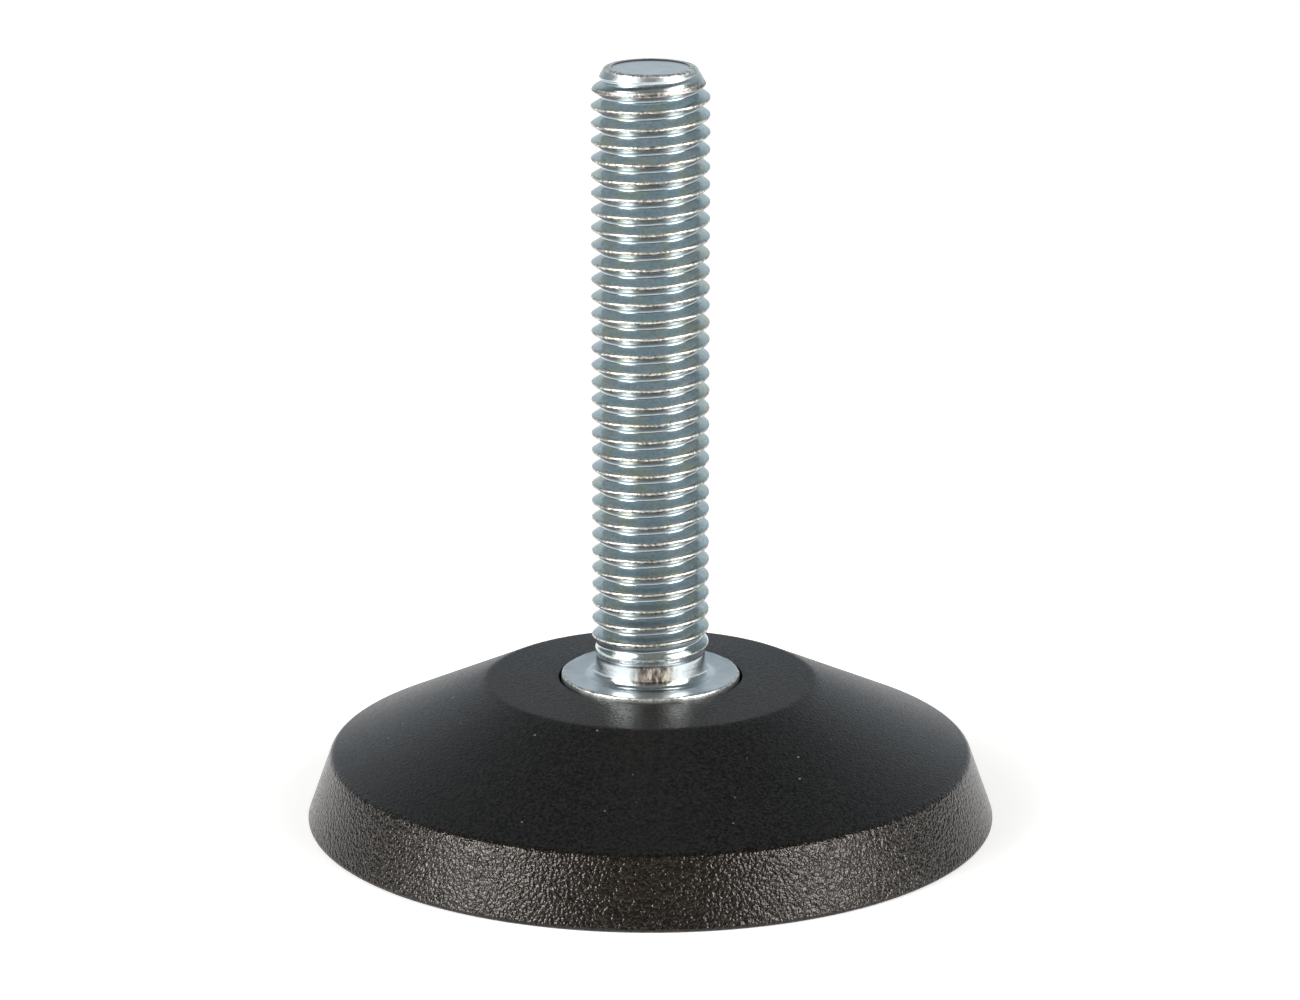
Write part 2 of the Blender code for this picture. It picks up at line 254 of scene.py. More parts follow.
# Gloss of the zinc plate.
ZINC_ROUGHNESS = (0.15, 0.24)
ZINC_GRAIN = 0.30 * MM
EDGE_EXTRA_ROUGHNESS = 0.18
MATT_EXTRA_ROUGHNESS = 0.2
MATT_BEVEL_SHARE = 0.6
COAT_WEIGHT = 0.4
COAT_ROUGHNESS = 0.15
ZINC_BUMP_SHARE = 0.10
EDGE_BUMP_SHARE = 0.6
ZINC_GRAIN_DEPTH = 0.07 * MM

# Where the edges with wear and a painted highlight, the cup's wall with its painted shade, and the matt
# faces lie.
COLLAR_EDGE_RADII = (COLLAR_RADIUS - 0.26 * MM, COLLAR_RADIUS - 0.16 * MM)
COLLAR_EDGE_HEIGHTS = (COLLAR_TOP - 0.4 * MM, COLLAR_TOP - 0.3 * MM)
END_EDGE_RADII = (CUP_RADIUS + 0.02 * MM, CUP_RADIUS + 0.10 * MM)
END_EDGE_HEIGHTS = (STUD_TOP - 0.26 * MM, STUD_TOP - 0.14 * MM)
CUP_WALL_RADII = (CUP_RADIUS - 0.14 * MM, CUP_RADIUS - 0.11 * MM, CUP_RADIUS - 0.03 * MM, CUP_RADIUS)
CUP_WALL_HEIGHTS = (STUD_TOP - 0.5 * MM, STUD_TOP - 0.4 * MM)
MATT_COLLAR_RADII = (NECK_RADIUS + 0.7 * MM, NECK_RADIUS + 1.1 * MM)
MATT_BEVEL_HEIGHTS = (STUD_TOP - 1.2 * MM, STUD_TOP - 0.9 * MM)

# Parts of one pitch on the thread, as shares of it upwards from the root: where each one fades in
# and out again. The root's band is the part that lies outside its numbers.
ROOT_BAND = (0.03, 0.07, 0.93, 0.97)
# Painted shade on the thread's underside.
UNDERSIDE_SHADE_BAND = (0.05, 0.09, 0.30, 0.36)
# Painted shade under each crest.
BROWN_SHADE_BAND = (0.30, 0.36, 0.49, 0.52)
# Wear and a painted highlight on each crest.
CREST_BAND = (0.48, 0.51, 0.585, 0.615)
ROUGH_UNDERSIDE_BAND = (0.06, 0.12, 0.40, 0.46)
ROUGH_CREST_BAND = (0.40, 0.46, 0.585, 0.615)

# Where the thread's colours begin and end.
THREAD_FADE_IN = (17.2 * MM, 18.2 * MM)
THREAD_FADE_OUT = (STUD_TOP - 1.6 * MM, STUD_TOP - 0.9 * MM)

# Stains and painted shade on the neck's front: their reach round the neck in radians, and up it.
STAIN_AND_SHADE_TURN = (-0.42, -0.16, 0.30, 0.55)
STAIN_AND_SHADE_HEIGHT = (15.35 * MM, 15.7 * MM, 17.2 * MM, 17.5 * MM)

# Steel of the hidden pieces.
WASHER_COLOUR = (0.58, 0.60, 0.60)
WASHER_ROUGHNESS = 0.34
SPRING_COLOUR = (0.10, 0.10, 0.105)
SPRING_ROUGHNESS = 0.40
STEEL_DARK_SHARE = 0.85
STEEL_CLOUD = 1.2 * MM
STEEL_GRAIN = 0.25 * MM
STEEL_GRAIN_DEPTH = 0.01 * MM
STEEL_ROUGHNESS_SPREAD = 0.06
WASHER_EDGE = 0.12 * MM
RING_EDGE = 0.08 * MM


# ---------------------------------------------------------------- node trees


class Nodes:
    """Short way to add and link the nodes of one tree."""

    def __init__(self, tree, space):
        self.tree = tree
        self.place = self.add("ShaderNodeTexCoord").outputs[space]

    def add(self, kind, **settings):
        """Add a node with its own settings, such as its operation."""
        node = self.tree.nodes.new(kind)
        for name, value in settings.items():
            setattr(node, name, value)
        return node

    def link(self, source, target):
        """Join an output to an input."""
        self.tree.links.new(source, target)

    def split(self):
        """Return the three coordinates of the place that is shaded."""
        node = self.add("ShaderNodeSeparateXYZ")
        self.link(self.place, node.inputs[0])
        return node.outputs

    def noise(self, size, detail=2.0, roughness=0.5, stretch=(1.0, 1.0, 1.0)):
        """Return noise whose lumps are about this size, in metres."""
        node = self.add("ShaderNodeTexNoise")
        node.inputs["Scale"].default_value = 1.0 / size
        node.inputs["Detail"].default_value = detail
        node.inputs["Roughness"].default_value = roughness
        place = self.add("ShaderNodeMapping")
        place.inputs["Scale"].default_value = stretch
        self.link(self.place, place.inputs["Vector"])
        self.link(place.outputs[0], node.inputs["Vector"])
        return node.outputs["Fac"]

    def remap(self, source, low, high, new_low, new_high):
        """Return the source's range turned into another range, with its ends held."""
        node = self.add("ShaderNodeMapRange")
        node.inputs["From Min"].default_value = low
        node.inputs["From Max"].default_value = high
        node.inputs["To Min"].default_value = new_low
        node.inputs["To Max"].default_value = new_high
        self.link(source, node.inputs["Value"])
        return node.outputs["Result"]

    def rise(self, source, low, high):
        """Return 0 below a range, 1 above it, and a straight climb between."""
        return self.remap(source, low, high, 0.0, 1.0)

    def fall(self, source, low, high):
        """Return 1 below a range, 0 above it, and a straight descent between."""
        return self.remap(source, low, high, 1.0, 0.0)

    def blend(self, mask, at_none, at_full):
        """Return one number where a mask is 0 and another where it is 1."""
        return self.remap(mask, 0.0, 1.0, at_none, at_full)

    def maths(self, operation, first, second):
        """Return two values joined by an operation; either may be a number."""
        node = self.add("ShaderNodeMath", operation=operation)
        for socket, value in zip(node.inputs, (first, second)):
            if isinstance(value, (int, float)):
                socket.default_value = value
            else:
                self.link(value, socket)
        return node.outputs[0]

    def sum(self, first, second):
        """Return the sum of two values."""
        return self.maths("ADD", first, second)

    def times(self, first, second):
        """Return the product of two values."""
        return self.maths("MULTIPLY", first, second)

    def larger(self, first, second):
        """Return the larger of two values."""
        return self.maths("MAXIMUM", first, second)

    def smaller(self, first, second):
        """Return the smaller of two values."""
        return self.maths("MINIMUM", first, second)

    def inside(self, source, rise_low, rise_high, fall_low, fall_high):
        """Return 1 where a value lies in a band with soft edges."""
        entering = self.rise(source, rise_low, rise_high)
        leaving = self.fall(source, fall_low, fall_high)
        return self.smaller(entering, leaving)

    def outside(self, source, fall_low, fall_high, rise_low, rise_high):
        """Return 1 where a value lies below or above a band with soft edges."""
        entering = self.fall(source, fall_low, fall_high)
        leaving = self.rise(source, rise_low, rise_high)
        return self.larger(entering, leaving)

    def ramp(self, source, *stops):
        """Return colours read from (position, colour) stops."""
        node = self.add("ShaderNodeValToRGB")
        elements = node.color_ramp.elements
        for position, _ in stops[1:-1]:
            elements.new(position)
        for element, (position, colour) in zip(elements, stops):
            element.position = position
            element.color = (*colour, 1.0)
        self.link(source, node.inputs[0])
        return node.outputs["Color"]

    def mix(self, factor, first, second):
        """Return a blend of two colours."""
        node = self.add("ShaderNodeMix", data_type="RGBA")
        self.link(factor, node.inputs["Factor"])
        colour_sockets = node.inputs[6], node.inputs[7]
        for socket, value in zip(colour_sockets, (first, second)):
            if isinstance(value, tuple):
                socket.default_value = (*value, 1.0)
            else:
                self.link(value, socket)
        return node.outputs[2]


class Surface(Nodes):
    """Node material of one part of the foot."""

    def __init__(self, name):
        self.material = bpy.data.materials.new(name)
        self.material.use_nodes = True
        super().__init__(self.material.node_tree, "Object")
        self.shader = self.tree.nodes["Principled BSDF"]

    def drive(self, name, source):
        """Join a node's output to one of the shader's inputs."""
        self.link(source, self.shader.inputs[name])

    def fix(self, name, value):
        """Set one of the shader's inputs to the same value everywhere."""
        self.shader.inputs[name].default_value = value

    def radius(self):
        """Return the distance from the spindle's axis."""
        x, y, _ = self.split()
        return self.maths("POWER", self.sum(self.times(x, x), self.times(y, y)), 0.5)

    def height(self):
        """Return the height above the floor."""
        return self.split()[2]

    def thread_share(self):
        """Return where a point lies in its pitch: 0 in the root, 0.5 on the crest, then up again."""
        x, y, z = self.split()
        turns = self.maths("DIVIDE", self.maths("ARCTAN2", y, x), FULL_TURN)
        climb = self.maths("DIVIDE", self.maths("SUBTRACT", z, CREST_PHASE_HEIGHT), PITCH)
        return self.maths("FRACT", self.maths("SUBTRACT", climb, turns), 0.0)

    def stain_and_shade(self):
        """Return how much of the neck's front carries its stains and painted shade."""
        x, y, z = self.split()
        turn = self.maths("ARCTAN2", x, self.times(y, -1.0))
        return self.times(self.inside(turn, *STAIN_AND_SHADE_TURN), self.inside(z, *STAIN_AND_SHADE_HEIGHT))

    def bump(self, height, depth):
        """Roughen the surface by a height that goes from 0 to 1, over a depth in metres."""
        node = self.add("ShaderNodeBump")
        node.inputs["Strength"].default_value = 1.0
        node.inputs["Distance"].default_value = depth
        self.link(height, node.inputs["Height"])
        self.drive("Normal", node.outputs["Normal"])


# ---------------------------------------------------------------- camera, light and floor


def show(item):
    """Put an object in the scene."""
    bpy.context.scene.collection.objects.link(item)


def make_camera():
    """Camera a little above the foot, looking down at its front."""
    data = bpy.data.cameras.new("camera")
    data.sensor_width = CAMERA_SENSOR
    data.lens = CAMERA_LENS
    camera = bpy.data.objects.new("camera", data)
    camera.location = CAMERA_PLACE
    camera.rotation_euler = (math.radians(90 - CAMERA_DIP), 0.0, 0.0)
    show(camera)
    bpy.context.scene.camera = camera


def make_softbox(name, azimuth, elevation, distance, width, height, power):
    """Add a soft rectangular lamp that looks at the foot from a compass angle."""
    data = bpy.data.lights.new(name, "AREA")
    data.shape = "RECTANGLE"
    data.size = width
    data.size_y = height
    data.energy = power
    data.color = LAMP_COLOUR
    lamp = bpy.data.objects.new(name, data)
    around = math.radians(azimuth)
    up = math.radians(elevation)
    direction = Vector((math.sin(around) * math.cos(up), -math.cos(around) * math.cos(up), math.sin(up)))
    lamp.location = LAMP_TARGET + direction * distance
    lamp.rotation_euler = direction.to_track_quat("Z", "Y").to_euler()
    show(lamp)


def make_lamps():
    """Add a large softbox on each side, each with a smaller and brighter lamp in its middle."""
    softbox = {"elevation": 24, "distance": 1.5, "width": 1.05, "height": 1.34}
    bulb = {"elevation": 25, "distance": 1.4, "width": 0.42, "height": 0.56}
    make_softbox("left_softbox", azimuth=-62, power=16.0, **softbox)
    make_softbox("right_softbox", azimuth=62, power=16.0, **softbox)
    make_softbox("left_bulb", azimuth=-60, power=12.0, **bulb)
    make_softbox("right_bulb", azimuth=60, power=9.5, **bulb)


def make_world():
    """Studio round the foot: a pale backdrop behind it, a dim room in front, overhead and aside."""
    world = bpy.data.worlds.new("studio")
    world.use_nodes = True
    world.node_tree.nodes.clear()
    build = Nodes(world.node_tree, "Generated")
    x, y, z = build.split()
    across = build.ramp(y, (0.0, ROOM_FRONT), (0.40, ROOM_BACK))
    upward = build.rise(build.sum(build.times(y, OVERHEAD_LEAN), z), *OVERHEAD_RANGE)
    aside = build.maths("ABSOLUTE", x, 0.0)
    background = build.add("ShaderNodeBackground")
    output = build.add("ShaderNodeOutputWorld")
    build.link(build.mix(upward, across, ROOM_OVERHEAD), background.inputs["Color"])
    build.link(build.remap(aside, *SIDE_RANGE, 1.0, SIDE_STRENGTH), background.inputs["Strength"])
    build.link(background.outputs[0], output.inputs["Surface"])
    bpy.context.scene.world = world


def make_floor():
    """Plain pale floor."""
    bm = bmesh.new()
    bmesh.ops.create_grid(bm, x_segments=1, y_segments=1, size=FLOOR_HALF_WIDTH)
    mesh = bpy.data.meshes.new("floor")
    bm.to_mesh(mesh)
    bm.free()
    floor = bpy.data.objects.new("floor", mesh)
    floor.location.z = -FLOOR_GAP
    surface = Surface("pale_floor")
    surface.fix("Base Color", FLOOR_COLOUR)
    surface.fix("Roughness", 0.9)
    surface.fix("Specular IOR Level", 0.1)
    surface.fix("Emission Color", FLOOR_GLOW_COLOUR)
    surface.fix("Emission Strength", FLOOR_GLOW)
    mesh.materials.append(surface.material)
    show(floor)


# ---------------------------------------------------------------- materials


def make_plastic():
    """Black polyamide with the grain of a spark-eroded mould, coarse on the rim band, where a warmer
    copy of its colour is painted light.
    """
    build = Surface("black_plastic")
    height = build.height()
    rim = build.fall(height, *RIM_FADE_OUT)
    fine = build.noise(FINE_GRAIN, detail=1.0)
    coarse = build.noise(RIM_GRAIN, detail=1.0)
    fine_part = build.times(fine, build.blend(rim, FINE_GRAIN_SHARE, FINE_GRAIN_RIM_SHARE))
    build.bump(build.sum(fine_part, build.times(coarse, rim)), PLASTIC_GRAIN_DEPTH)

    grit = build.noise(PLASTIC_GRIT, roughness=0.7)
    cool = build.ramp(grit, (0.40, PLASTIC_COOL_DARK), (0.62, PLASTIC_COOL_LIGHT))
    painted_warm = build.ramp(grit, (0.38, PLASTIC_PAINTED_WARM_DARK), (0.64, PLASTIC_PAINTED_WARM_LIGHT))
    dust = build.rise(build.noise(DUST_SPACING, detail=0.0), *DUST_THRESHOLD)
    # The rim band takes the warmer copy of the plastic: painted warm light.
    build.drive("Base Color", build.mix(dust, build.mix(rim, cool, painted_warm), DUST_COLOUR))

    rough = build.remap(fine, *NOISE_MIDDLE, *PLASTIC_ROUGHNESS)
    rough = build.times(rough, build.blend(rim, 1.0, RIM_ROUGHNESS_SHARE))
    disc = build.remap(height, *DISC_FADE_IN, 1.0, DISC_ROUGHNESS_SHARE)
    build.drive("Roughness", build.times(rough, disc))
    build.fix("IOR", PLASTIC_IOR)
    return build.material


def thread_colour(build, share, cloud, speckle, wear_and_highlight):
    """Return the thread's colours: teal flanks above, painted shade on the underside and under the
    crests, roots, and wear with a painted highlight on the crests.
    """
    flank = build.ramp(cloud, (0.35, FLANK_DARK), (0.65, FLANK_LIGHT))
    patch = build.remap(build.noise(OLIVE_PATCH), 0.50, 0.70, 0.0, OLIVE_SHARE)
    flank = build.mix(patch, flank, FLANK_OLIVE)
    flank = build.mix(build.remap(speckle, 0.40, 0.62, 0.0, SPECK_SHARE), flank, FLANK_SPECK)
    thread = build.mix(build.outside(share, *ROOT_BAND), flank, ROOT_COLOUR)
    # Painted shade on the thread's underside.
    thread = build.mix(build.inside(share, *UNDERSIDE_SHADE_BAND), thread, UNDERSIDE_SHADE_COLOUR)
    # Mottled painted shade under each crest.
    brown_shade = build.ramp(speckle, (0.38, BROWN_SHADE_DARK), (0.62, BROWN_SHADE_LIGHT))
    thread = build.mix(build.inside(share, *BROWN_SHADE_BAND), thread, brown_shade)
    ragged = build.sum(share, build.remap(speckle, 0.36, 0.64, -CREST_RAGGEDNESS, CREST_RAGGEDNESS))
    dulling = build.remap(build.noise(CREST_DULLING), 0.36, 0.60, DULLEST_CREST, 1.0)
    # Wear and a painted highlight along the crests.
    return build.mix(build.times(build.inside(ragged, *CREST_BAND), dulling), thread, wear_and_highlight)


def make_zinc():
    """Zinc plate: light on collar and neck, with stains and painted shade on the neck's front; dull teal
    on the thread's flanks, painted shade under its crests, and wear with a painted highlight on them.
    """
    build = Surface("zinc_steel")
    share = build.thread_share()
    height = build.height()
    radius = build.radius()
    threaded = build.times(build.rise(height, *THREAD_FADE_IN), build.fall(height, *THREAD_FADE_OUT))
    collar_edge = build.times(
        build.rise(radius, *COLLAR_EDGE_RADII), build.rise(height, *COLLAR_EDGE_HEIGHTS)
    )
    end_edge = build.times(build.rise(radius, *END_EDGE_RADII), build.rise(height, *END_EDGE_HEIGHTS))
    cup_wall_shade = build.times(build.inside(radius, *CUP_WALL_RADII), build.rise(height, *CUP_WALL_HEIGHTS))

    cloud = build.noise(ZINC_CLOUD, detail=3.0)
    speckle = build.noise(ZINC_SPECKLE, roughness=0.6)
    streak = build.noise(STAIN_AND_SHADE_STREAK, detail=3.0, roughness=0.6, stretch=STAIN_AND_SHADE_STRETCH)
    wear_and_highlight = build.ramp(speckle, (0.40, WEAR_AND_HIGHLIGHT_DARK), (0.49, WEAR_AND_HIGHLIGHT_MIDDLE), (0.58, WEAR_AND_HIGHLIGHT_LIGHT))
    stain_and_shade_colour = build.ramp(streak, (0.42, STAIN_AND_SHADE_DARK), (0.51, STAIN_AND_SHADE_MIDDLE), (0.60, STAIN_AND_SHADE_LIGHT))
    plain = build.ramp(cloud, (0.35, ZINC_DARK), (0.65, ZINC_LIGHT))
    # Stains and painted shade on the neck's front.
    plain = build.mix(build.stain_and_shade(), plain, stain_and_shade_colour)
    # Wear and a painted highlight on the collar's and end's edges.
    plain = build.mix(build.times(build.larger(collar_edge, end_edge), WEAR_AND_HIGHLIGHT_SHARE), plain, wear_and_highlight)
    # Painted shade on the cup's wall.
    plain = build.mix(cup_wall_shade, plain, CUP_WALL_SHADE_COLOUR)
    thread = thread_colour(build, share, cloud, speckle, wear_and_highlight)
    build.drive("Base Color", build.mix(threaded, plain, thread))
    build.fix("Metallic", 1.0)
    build.fix("Coat Weight", COAT_WEIGHT)
    build.fix("Coat Roughness", COAT_ROUGHNESS)

    edge = build.larger(build.times(build.inside(share, *ROUGH_CREST_BAND), threaded), end_edge)
    matt_bevel = build.remap(height, *MATT_BEVEL_HEIGHTS, 0.0, MATT_BEVEL_SHARE)
    matt = build.larger(build.rise(radius, *MATT_COLLAR_RADII), matt_bevel)
    matt = build.larger(matt, build.times(build.inside(share, *ROUGH_UNDERSIDE_BAND), threaded))
    rough = build.remap(build.noise(ZINC_GRAIN, detail=3.0), *NOISE_MIDDLE, *ZINC_ROUGHNESS)
    extra = build.sum(build.times(edge, EDGE_EXTRA_ROUGHNESS), build.times(matt, MATT_EXTRA_ROUGHNESS))
    build.drive("Roughness", build.sum(rough, extra))
    bumpiness = build.blend(edge, ZINC_BUMP_SHARE, EDGE_BUMP_SHARE)
    build.bump(build.times(speckle, bumpiness), ZINC_GRAIN_DEPTH)
    return build.material


def make_steel(name, colour, roughness):
    """Plain steel of the hidden washer and ring, with faint stamping marks."""
    build = Surface(name)
    dark = tuple(STEEL_DARK_SHARE * value for value in colour)
    cloud = build.noise(STEEL_CLOUD, detail=3.0)
    build.drive("Base Color", build.ramp(cloud, (0.3, dark), (0.7, colour)))
    build.fix("Metallic", 1.0)
    grain = build.noise(STEEL_GRAIN)
    spread = STEEL_ROUGHNESS_SPREAD
    rough = build.remap(grain, *NOISE_MIDDLE, roughness - spread, roughness + spread)
    build.drive("Roughness", rough)
    build.bump(grain, STEEL_GRAIN_DEPTH)
    return build.material


# ---------------------------------------------------------------- mesh helpers


def rounded_profile(corners, steps):
    """Return a profile whose corners, given as (radius, height, rounding), are arcs."""
    points = []
    for index, (x, y, rounding) in enumerate(corners):
        if rounding <= 0.0:
            points.append((x, y))
            continue
        before = corners[index - 1]
        after = corners[(index + 1) % len(corners)]
        to_before = Vector((before[0] - x, before[1] - y)).normalized()
        to_after = Vector((after[0] - x, after[1] - y)).normalized()
        half = to_before.angle(to_after) / 2
        middle = (to_before + to_after).normalized()
        centre = Vector((x, y)) + middle * (rounding / math.sin(half))
        reach = rounding / math.tan(half)
        first = Vector((x, y)) + to_before * reach - centre
        last = Vector((x, y)) + to_after * reach - centre
        start = math.atan2(first.y, first.x)
        sweep = (math.atan2(last.y, last.x) - start + math.pi) % FULL_TURN - math.pi
        for step in range(steps + 1):
            angle = start + sweep * step / steps
            points.append((centre.x + rounding * math.cos(angle), centre.y + rounding * math.sin(angle)))
    return points


def subdivided(points, longest):
    """Return an outline with extra points where two of its points are far apart."""
    result = []
    for index, point in enumerate(points):
        after = points[(index + 1) % len(points)]
        pieces = max(1, math.ceil(math.hypot(after[0] - point[0], after[1] - point[1]) / longest))
        for piece in range(pieces):
            share = piece / pieces
            x = point[0] + (after[0] - point[0]) * share
            y = point[1] + (after[1] - point[1]) * share
            result.append((x, y))
    return result


def add_point(bm, radius, angle, height):
    """Add a point at a place given by its distance from the axis, angle and height."""
    return bm.verts.new((radius * math.cos(angle), radius * math.sin(angle), height))


def add_ring(bm, radius, height, segments):
    """Add a level ring of points."""
    return [add_point(bm, radius, FULL_TURN * index / segments, height) for index in range(segments)]


def join_rings(bm, lower, upper):
    """Fill the band between two level rings."""
    for index in range(len(lower)):
        after = (index + 1) % len(lower)
        bm.faces.new((lower[index], lower[after], upper[after], upper[index]))


def add_rings(bm, profile, segments):
    """Add the rings that a profile gives, fill the bands between them and return them."""
    rings = [add_ring(bm, radius, height, segments) for radius, height in profile]
    for below, above in zip(rings, rings[1:]):
        join_rings(bm, below, above)
    return rings


def smooth_mesh(mesh, sharp):
    """Shade a mesh smooth, but for edges with a bend of more than this many degrees."""
    mesh.shade_smooth()
    mesh.set_sharp_from_angle(angle=math.radians(sharp))


def finish_mesh(name, bm, material, sharp=40):
    """Make a smooth-shaded object from a bmesh."""
    mesh = bpy.data.meshes.new(name)
    bm.to_mesh(mesh)
    bm.free()
    smooth_mesh(mesh, sharp)
    if material:
        mesh.materials.append(material)
    item = bpy.data.objects.new(name, mesh)
    show(item)
    return item


def apply_modifiers(item):
    """Turn an object's modifiers into its mesh."""
    graph = bpy.context.evaluated_depsgraph_get()
    mesh = bpy.data.meshes.new_from_object(item.evaluated_get(graph))
    item.modifiers.clear()
    item.data = mesh


def round_edges(item, width, angle=30):
    """Bevel the edges of an object with a bend of more than this many degrees."""
    bevel = item.modifiers.new("edges", "BEVEL")
    bevel.width = width
    bevel.segments = BEVEL_SEGMENTS
    bevel.limit_method = "ANGLE"
    bevel.angle_limit = math.radians(angle)
    apply_modifiers(item)


# ---------------------------------------------------------------- base


def base_corners():
    """Return the base's section as corners with their rounding."""
    return [
        (WALL_FOOT_RADIUS, 0.0, FOOT_ROUNDING),
        (FLOOR_RADIUS, 0.0, FOOT_ROUNDING),
        (RIM_RADIUS, RIM_HEIGHT, RIM_ROUNDING),
        (DISC_RADIUS, DISC_HEIGHT, DISC_ROUNDING),
        (POCKET_RADIUS, TOP_HEIGHT, POCKET_EDGE),
        (POCKET_RADIUS, POCKET_FLOOR, BORE_EDGE),
        (BORE_RADIUS, POCKET_FLOOR, BORE_EDGE),
        (BORE_RADIUS, BOSS_FOOT, BORE_EDGE),
        (BOSS_RADIUS, BOSS_FOOT, BOSS_EDGE),
        (BOSS_RADIUS, CEILING_INNER_HEIGHT, BOSS_ROUNDING),
        (CEILING_OUTER_RADIUS, CEILING_OUTER_HEIGHT, CEILING_ROUNDING),
    ]


def rib_outline():
    """Return the outline of a rib in its own plane, as (radius, height) points."""
    inner = BOSS_RADIUS - RIB_OVERLAP
    corners = [
        (inner, BOSS_FOOT + RIB_BOSS_STEP, 0.0),
        (BOSS_RADIUS + RIB_SLOPE_LENGTH, RIB_FOOT, RIB_BEND),
        (WALL_FOOT_RADIUS, RIB_FOOT, 0.0),
        (WALL_FOOT_RADIUS, RIB_FOOT + RIB_OVERLAP, 0.0),
        (CEILING_OUTER_RADIUS, CEILING_OUTER_HEIGHT + RIB_OVERLAP, 0.0),
        (inner, CEILING_INNER_HEIGHT + RIB_OVERLAP, 0.0),
    ]
    return rounded_profile(corners, RIB_ARC_STEPS)


def make_ribs():
    """Return the radial ribs of the underside, which stand between boss and wall."""
    outline = rib_outline()
    bm = bmesh.new()
    for index in range(RIB_COUNT):
        angle = FULL_TURN * (index + 0.5) / RIB_COUNT
        along = Vector((math.cos(angle), math.sin(angle)))
        sides = []
        for offset in (-RIB_THICKNESS / 2, RIB_THICKNESS / 2):
            side = []
            for radius, height in outline:
                x = radius * along.x - offset * along.y
                y = radius * along.y + offset * along.x
                side.append(bm.verts.new((x, y, height)))
            sides.append(side)
        near, far = sides
        bm.faces.new(near)
        bm.faces.new(tuple(reversed(far)))
        for point in range(len(outline)):
            after = (point + 1) % len(outline)
            bm.faces.new((near[after], near[point], far[point], far[after]))
    bmesh.ops.recalc_face_normals(bm, faces=bm.faces)
    ribs = finish_mesh("rib_tool", bm, None)
    round_edges(ribs, RIB_EDGE)
    return ribs


def make_base(material):
    """Moulded base with its ribs, in one closed mesh."""
    profile = subdivided(rounded_profile(base_corners(), BASE_ARC_STEPS), BASE_LONGEST_STEP)
    bm = bmesh.new()
    rings = add_rings(bm, profile, BASE_SEGMENTS)
    join_rings(bm, rings[-1], rings[0])
    base = finish_mesh("base_shell", bm, material)
    ribs = make_ribs()
    union = base.modifiers.new("ribs", "BOOLEAN")
    union.operation = "UNION"
    union.solver = "EXACT"
    union.object = ribs
    apply_modifiers(base)
    bpy.data.objects.remove(ribs, do_unlink=True)
    smooth_mesh(base.data, 30)
    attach(base, "base")
    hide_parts("base")


# ---------------------------------------------------------------- spindle


def soft_bend(value):
    """Return 0 below zero and the value itself above, with a rounded corner one unit wide."""
    steepest = 60.0
    return math.log1p(math.exp(max(-steepest, min(steepest, value))))


def soft_step(value, low, high, softness):
    """Return 0 below low and 1 above high, with rounded corners between."""
    share = (value - low) / (high - low)
    return softness * (soft_bend(share / softness) - soft_bend((share - 1.0) / softness))


def smooth_share(value, low, high):
    """Return how far a value is from low to high, easing in and out."""
    share = min(1.0, max(0.0, (value - low) / (high - low)))
    return share * share * (3 - 2 * share)


def neck_radius(height):
    """Return the radius of the neck, which narrows upwards to the rolling blank's size."""
    share = min(1.0, (height - COLLAR_TOP) / (BLANK_FOOT - COLLAR_TOP))
    return NECK_RADIUS + (BLANK_RADIUS - NECK_RADIUS) * share


def stud_radius(angle, height):
    """Return the stud's radius at an angle round it and a height above the floor."""
    share = ((height - CREST_PHASE_HEIGHT) / PITCH - angle / FULL_TURN) % 1.0
    rise = soft_step(0.5 - abs(share - 0.5), ROOT_HALF_SHARE, CREST_HALF_SHARE, THREAD_ROUNDING)
    formed = smooth_share(height, *CREST_RUN_OUT)
    crest = (CREST_RADIUS - BLANK_RADIUS) * formed
    root = (BLANK_RADIUS - ROOT_RADIUS) * smooth_share(height, *ROOT_RUN_OUT)
    radius = neck_radius(height) + crest * rise - root * (1 - rise)
    place = Vector((radius * math.cos(angle), radius * math.sin(angle), height))
    wear = 0.5 + 0.5 * noise.noise(place / CREST_WEAR_LUMP)
    radius -= CREST_WEAR * wear * rise * formed
    bevel = END_RADIUS + (STUD_TOP - height) * END_SLOPE
    return radius - BEVEL_SOFTNESS * soft_bend((radius - bevel) / BEVEL_SOFTNESS)


def thread_heights(turned):
    """Return the heights of one column's points: along the helix below, level near the end."""
    spacing = PITCH / THREAD_ROWS
    clearance = ROW_CLEARANCE_SHARE * spacing
    level_start = STUD_TOP - LEVEL_ZONE
    first = NECK_TOP + PITCH * turned - PITCH
    heights = []
    for index in range(math.ceil((level_start - first) / spacing)):
        height = first + spacing * index
        if NECK_TOP + clearance < height < level_start - clearance:
            heights.append(height)
    level_length = LEVEL_ZONE - END_EDGE
    levels = math.floor(level_length / (LEVEL_ROW_SHARE * spacing))
    for index in range(levels):
        heights.append(level_start + level_length * index / levels)
    return heights


def fill_between(bm, near, far):
    """Fill the strip between two columns of points that need not have the same count."""
    low = 0
    high = 0
    while low + 1 < len(near) or high + 1 < len(far):
        can_near = low + 1 < len(near)
        can_far = high + 1 < len(far)
        if can_near and can_far:
            step_near = (near[low + 1].co - far[high].co).length
            step_far = (near[low].co - far[high + 1].co).length
            can_near = step_near <= step_far
        if can_near:
            bm.faces.new((near[low], far[high], near[low + 1]))
            low += 1
        else:
            bm.faces.new((near[low], far[high], far[high + 1]))
            high += 1


